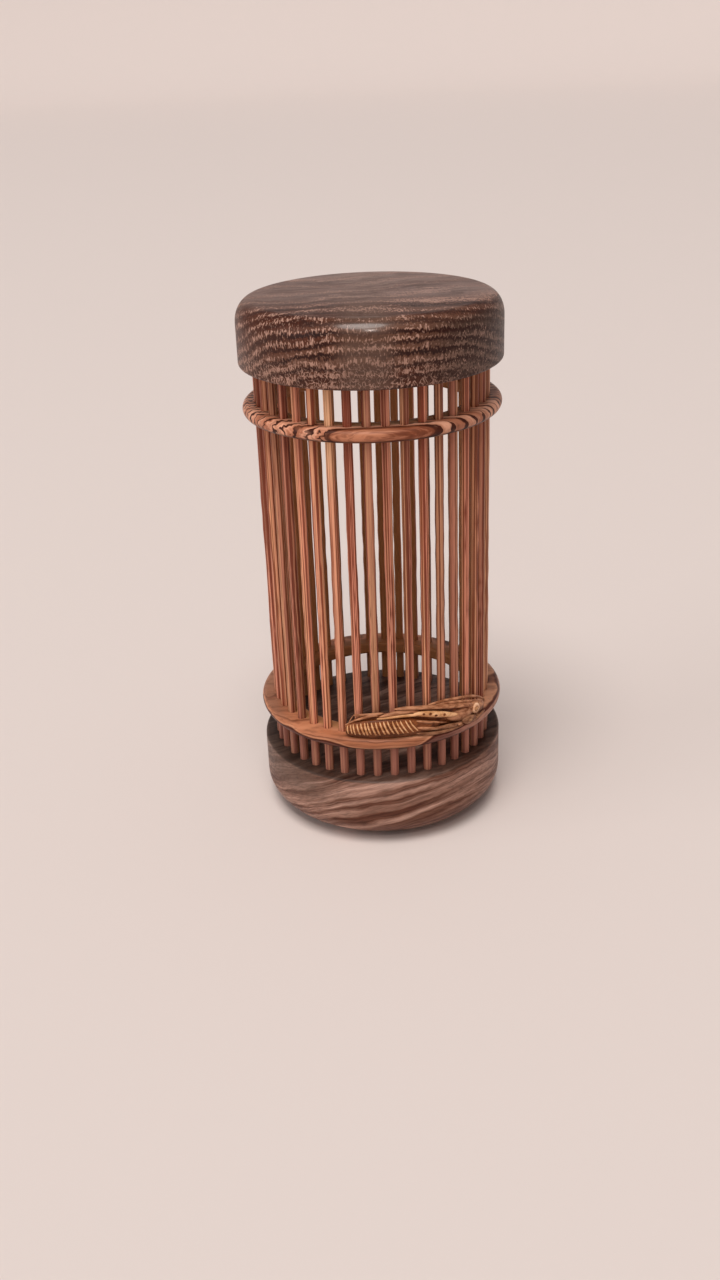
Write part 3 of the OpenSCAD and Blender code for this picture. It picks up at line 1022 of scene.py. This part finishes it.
COVE_R = 5.0
COVE_ROUND = 1.5
COVE_HEIGHT = 2.0
FLOOR_TONE = tone(228, 215, 210)
FLOOR_ROUGHNESS = 0.9
ROOM_TONE = tone(236, 236, 238)
ROOM_STRENGTH = 0.30
CEILING_PLACE = (-0.20, -0.75, 2.0)
CEILING_SPREAD = math.radians(30)
CEILING_STRENGTH = 1.92
CEILING_TINT = (1.0, 0.97, 0.93)
WINDOW_PLACE = (-2.5, -1.0, 1.3)
WINDOW_SIZE = 2.0
WINDOW_WATTS = 17.0
FRONT_LAMP_PLACE = (0.02, -1.35, 1.5)
FRONT_LAMP_SIZE = 0.22
FRONT_LAMP_WATTS = 4.0
FRONT_LAMP_TINT = (1.0, 0.94, 0.87)
CAMERA_BACK = 289 * MM
CAMERA_HEIGHT = 179 * MM
CAMERA_NEAR = 10 * MM
CAMERA_PITCH = math.radians(25.5)
CAMERA_YAW = math.radians(-0.96)
CAMERA_ROLL = math.radians(2.23)
FOCAL_PIXELS = 1300
IMAGE_LONG_SIDE = 1280
SENSOR = 36.0


def floor_paint():
    """A plain matt finish for the floor."""
    material, _, surface, _ = new_material("pale_floor")
    surface.inputs["Base Color"].default_value = FLOOR_TONE
    surface.inputs["Roughness"].default_value = FLOOR_ROUGHNESS
    return material


def make_stage():
    """A wide pale floor that rounds up into a cove, and an even light from all sides."""
    profile = [(0, 0)] + arc(COVE_R - COVE_ROUND, COVE_ROUND, COVE_ROUND, COVE_ROUND, -90, 0, 24)
    floor = turn("floor", profile + [(COVE_R, COVE_HEIGHT)])
    smooth(floor, degrees=60)
    floor.data.materials.append(floor_paint())
    world = bpy.data.worlds.new("room_light")
    world.use_nodes = True
    sky = world.node_tree.nodes["Background"]
    sky.inputs["Color"].default_value = ROOM_TONE
    sky.inputs["Strength"].default_value = ROOM_STRENGTH
    bpy.context.scene.world = world


def aim(name, lamp, place, height):
    """Hangs a lamp at its place, turned to a height on the cage's axis."""
    holder = bpy.data.objects.new(name, lamp)
    holder.location = place
    holder.rotation_euler = (Vector((0, 0, height)) - Vector(place)).to_track_quat("-Z", "Y").to_euler()
    bpy.context.scene.collection.objects.link(holder)


def round_lamp(name, size, watts):
    lamp = bpy.data.lights.new(name, "AREA")
    lamp.shape = "DISK"
    lamp.size = size
    lamp.energy = watts
    return lamp


def make_lamps():
    """An even ceiling light from above the front, a broad window to the left and a small lamp in front."""
    ceiling = bpy.data.lights.new("ceiling_light", "SUN")
    ceiling.angle = CEILING_SPREAD
    ceiling.energy = CEILING_STRENGTH
    ceiling.color = CEILING_TINT
    aim("ceiling_light", ceiling, CEILING_PLACE, 0)
    aim("window_light", round_lamp("window_light", WINDOW_SIZE, WINDOW_WATTS), WINDOW_PLACE, 60 * MM)
    front_lamp = round_lamp("front_lamp", FRONT_LAMP_SIZE, FRONT_LAMP_WATTS)
    front_lamp.color = FRONT_LAMP_TINT
    aim("front_lamp", front_lamp, FRONT_LAMP_PLACE, 100 * MM)


def make_camera():
    """A camera in front of the cage and above it, turned down, a little aside and a little over."""
    level_reach = math.cos(CAMERA_PITCH)
    ahead = Vector((math.sin(CAMERA_YAW) * level_reach, math.cos(CAMERA_YAW) * level_reach,
                    -math.sin(CAMERA_PITCH)))
    level = Vector((math.cos(CAMERA_YAW), -math.sin(CAMERA_YAW), 0))
    down = ahead.cross(level)
    across = math.cos(CAMERA_ROLL) * level + math.sin(CAMERA_ROLL) * down
    below = -math.sin(CAMERA_ROLL) * level + math.cos(CAMERA_ROLL) * down
    lens = bpy.data.cameras.new("camera")
    lens.sensor_width = SENSOR
    lens.lens = SENSOR * FOCAL_PIXELS / IMAGE_LONG_SIDE
    lens.clip_start = CAMERA_NEAR
    camera = bpy.data.objects.new("camera", lens)
    turned = Matrix((across, -below, -ahead)).transposed().to_4x4()
    camera.matrix_world = Matrix.Translation((0, -CAMERA_BACK, CAMERA_HEIGHT)) @ turned
    bpy.context.scene.collection.objects.link(camera)
    bpy.context.scene.camera = camera


make_stage()
make_lamps()
make_camera()
bpy.context.scene.view_settings.view_transform = "Standard"
